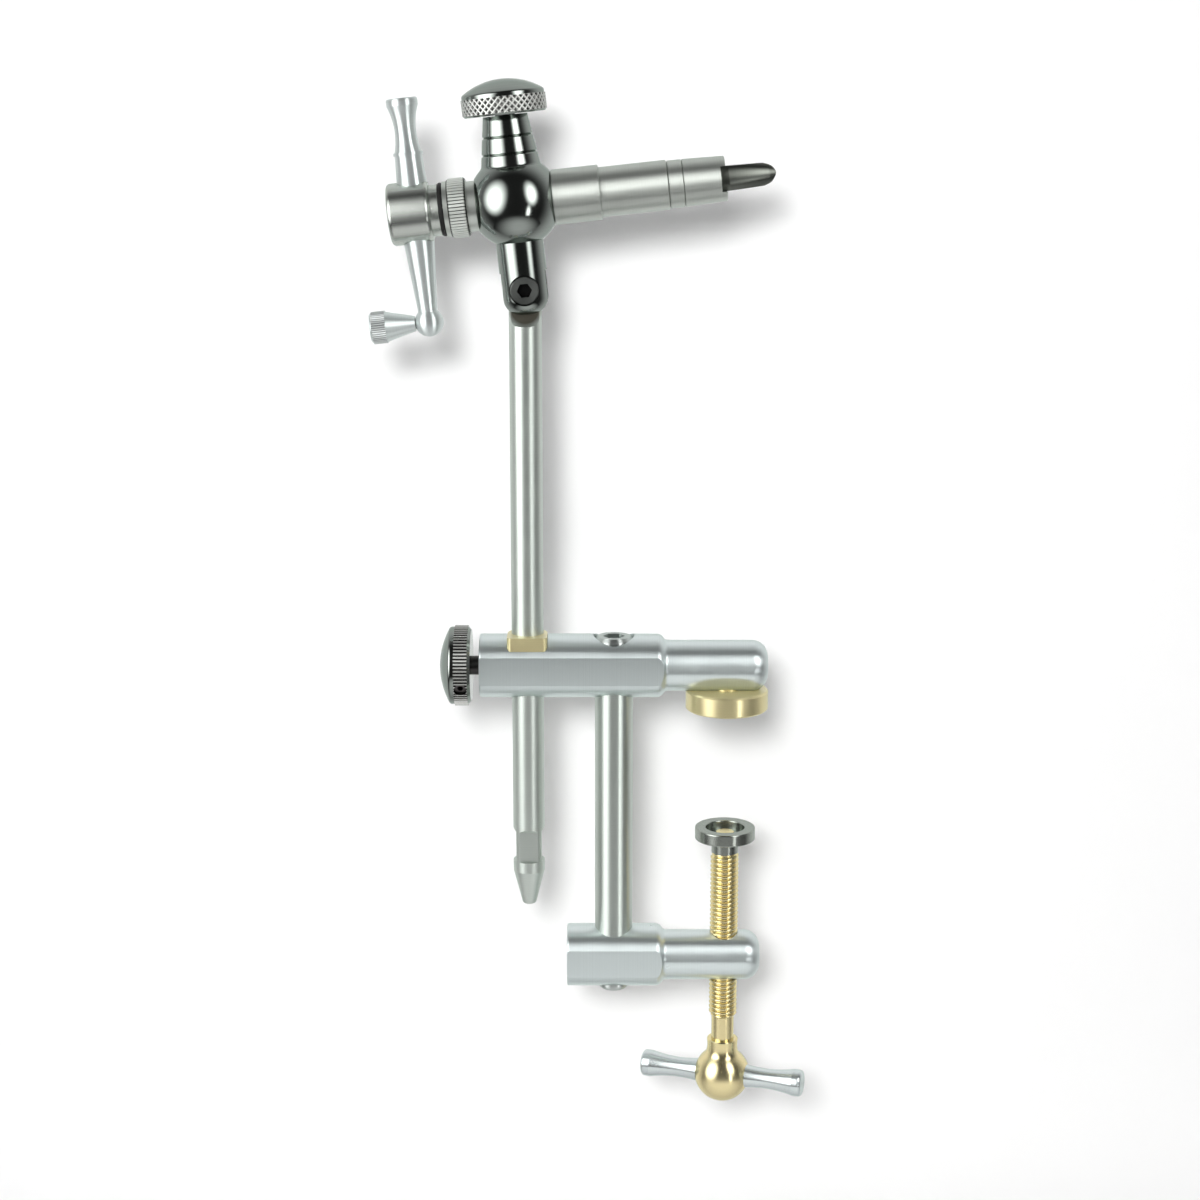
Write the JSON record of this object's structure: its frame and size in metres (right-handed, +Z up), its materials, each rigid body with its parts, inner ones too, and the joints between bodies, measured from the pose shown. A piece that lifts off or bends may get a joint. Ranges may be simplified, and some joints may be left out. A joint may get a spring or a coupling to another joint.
{
  "type": "fly tying vise",
  "caption": "Rotary fly tying vise: table clamp with brass pads, steel post, tilting head with brake knob, cranked spindle and hook jaws.",
  "frame": {"origin": "centre of the fixed pad's lower face, which bears on the table top", "axes": "+X from the posts towards the jaws, +Y away from the side with the flats, +Z up along the posts"},
  "size_m": [0.1368, 0.0278, 0.3267],
  "materials": {
    "polished_aluminium": "polished",
    "bright_steel": "ground bright",
    "satin_steel": "satin nickel",
    "dark_nickel": "dark mirror plating",
    "dark_steel": "blackened",
    "hardened_steel": "hardened, ground",
    "brass": "turned",
    "bronze": "sintered",
    "rubber": "matt"
  },
  "bodies": {
    "frame": {"upper_arm": "polished_aluminium", "lower_arm": "polished_aluminium", "clamp_post": "bright_steel", "upper_arm_screw": "bright_steel", "lower_arm_screw": "bright_steel", "fixed_pad": "brass", "post_bush": "brass"},
    "post": {"main_post": "bright_steel"},
    "lock_plug": {"lock_plug": "brass"},
    "lock_knob": {"lock_knob": "dark_nickel", "lock_screw": "dark_steel", "lock_knob_grub": "dark_steel"},
    "head": {"head_body": "dark_nickel", "pivot_screw": "dark_steel", "front_bearing": "bronze", "rear_bearing": "bronze"},
    "brake_plug": {"brake_plug": "brass"},
    "brake_knob": {"brake_knob": "dark_nickel", "brake_screw": "dark_steel"},
    "spindle": {"spindle": "satin_steel"},
    "collar": {"adjusting_collar": "satin_steel"},
    "jaw_lever": {"rear_hub": "satin_steel", "o_ring": "rubber", "hub_lever": "polished_aluminium", "crank_arm": "polished_aluminium", "crank_pin": "bright_steel"},
    "crank_knob": {"crank_knob": "polished_aluminium"},
    "drawbar": {"drawbar": "bright_steel", "jaw_pins": "bright_steel"},
    "jaw_near": {"jaw_near": "hardened_steel"},
    "jaw_far": {"jaw_far": "hardened_steel"},
    "swivel_pad": {"swivel_pad": "dark_steel"},
    "clamp_screw": {"clamp_screw": "brass", "handle_left": "polished_aluminium", "handle_right": "polished_aluminium"}
  },
  "joints": [
    {"name": "post_height", "type": "slide", "parent": "frame", "child": "post", "axis": [0, 0, 1], "range_m": [-0.05, 0.035]},
    {"name": "lock_plug_slide", "type": "slide", "parent": "frame", "child": "lock_plug", "axis": [-1, 0, 0], "range_m": [0, 0.002]},
    {"name": "lock_knob_turn", "type": "hinge", "parent": "lock_plug", "child": "lock_knob", "pos_m": [-0.084, 0, 0.014], "axis": [-1, 0, 0], "range_deg": [0, 720]},
    {"name": "head_tilt", "type": "hinge", "parent": "post", "child": "head", "pos_m": [-0.0627, 0, 0.1315], "axis": [0, -1, 0], "range_deg": [-30, 38]},
    {"name": "brake_plug_slide", "type": "slide", "parent": "head", "child": "brake_plug", "axis": [-0.108, 0, 0.9942], "range_m": [0, 0.0015]},
    {"name": "brake_knob_turn", "type": "hinge", "parent": "brake_plug", "child": "brake_knob", "pos_m": [-0.06867, 0, 0.18648], "axis": [-0.108, 0, 0.9942], "range_deg": [0, 540]},
    {"name": "head_spin", "type": "hinge", "parent": "head", "child": "spindle", "pos_m": [-0.06554, 0, 0.15765], "axis": [0.9942, 0, 0.108], "continuous": true},
    {"name": "collar_turn", "type": "hinge", "parent": "spindle", "child": "collar", "pos_m": [-0.08244, 0, 0.15581], "axis": [0.9942, 0, 0.108], "range_deg": [-360, 360]},
    {"name": "jaw_lever_turn", "type": "hinge", "parent": "spindle", "child": "jaw_lever", "pos_m": [-0.09536, 0, 0.15441], "axis": [-0.9942, 0, -0.108], "range_deg": [0, 270]},
    {"name": "drawbar_slide", "type": "slide", "parent": "spindle", "child": "drawbar", "axis": [0.9942, 0, 0.108], "range_m": [0, 0.0015]},
    {"name": "jaw_near_open", "type": "hinge", "parent": "drawbar", "child": "jaw_near", "pos_m": [-0.01534, -0.002, 0.1631], "axis": [0.108, 0, -0.9942], "range_deg": [0, 2]},
    {"name": "jaw_far_open", "type": "hinge", "parent": "drawbar", "child": "jaw_far", "pos_m": [-0.01534, 0.002, 0.1631], "axis": [-0.108, 0, 0.9942], "range_deg": [0, 2]},
    {"name": "crank_knob_spin", "type": "hinge", "parent": "jaw_lever", "child": "crank_knob", "pos_m": [-0.10373, 0, 0.1203], "axis": [0.9942, 0, 0.108], "continuous": true},
    {"name": "swivel_pad_slide", "type": "slide", "parent": "frame", "child": "swivel_pad", "axis": [0, 0, 1], "range_m": [-0.024, 0.0195]},
    {"name": "clamp_screw_turn", "type": "hinge", "parent": "swivel_pad", "child": "clamp_screw", "pos_m": [0, 0, -0.075], "axis": [0, 0, 1], "range_deg": [-5760, 4680]}
  ],
  "couplings": [
    {"joint": "lock_knob_turn", "follows": "lock_plug_slide", "rad_per_m": 6283.2},
    {"joint": "brake_knob_turn", "follows": "brake_plug_slide", "rad_per_m": 6283.2},
    {"joint": "jaw_lever_turn", "follows": "drawbar_slide", "rad_per_m": 3141.6},
    {"joint": "jaw_near_open", "follows": "drawbar_slide", "rad_per_m": 23.27},
    {"joint": "jaw_far_open", "follows": "drawbar_slide", "rad_per_m": 23.27},
    {"joint": "clamp_screw_turn", "follows": "swivel_pad_slide", "rad_per_m": 4188.8}
  ]
}
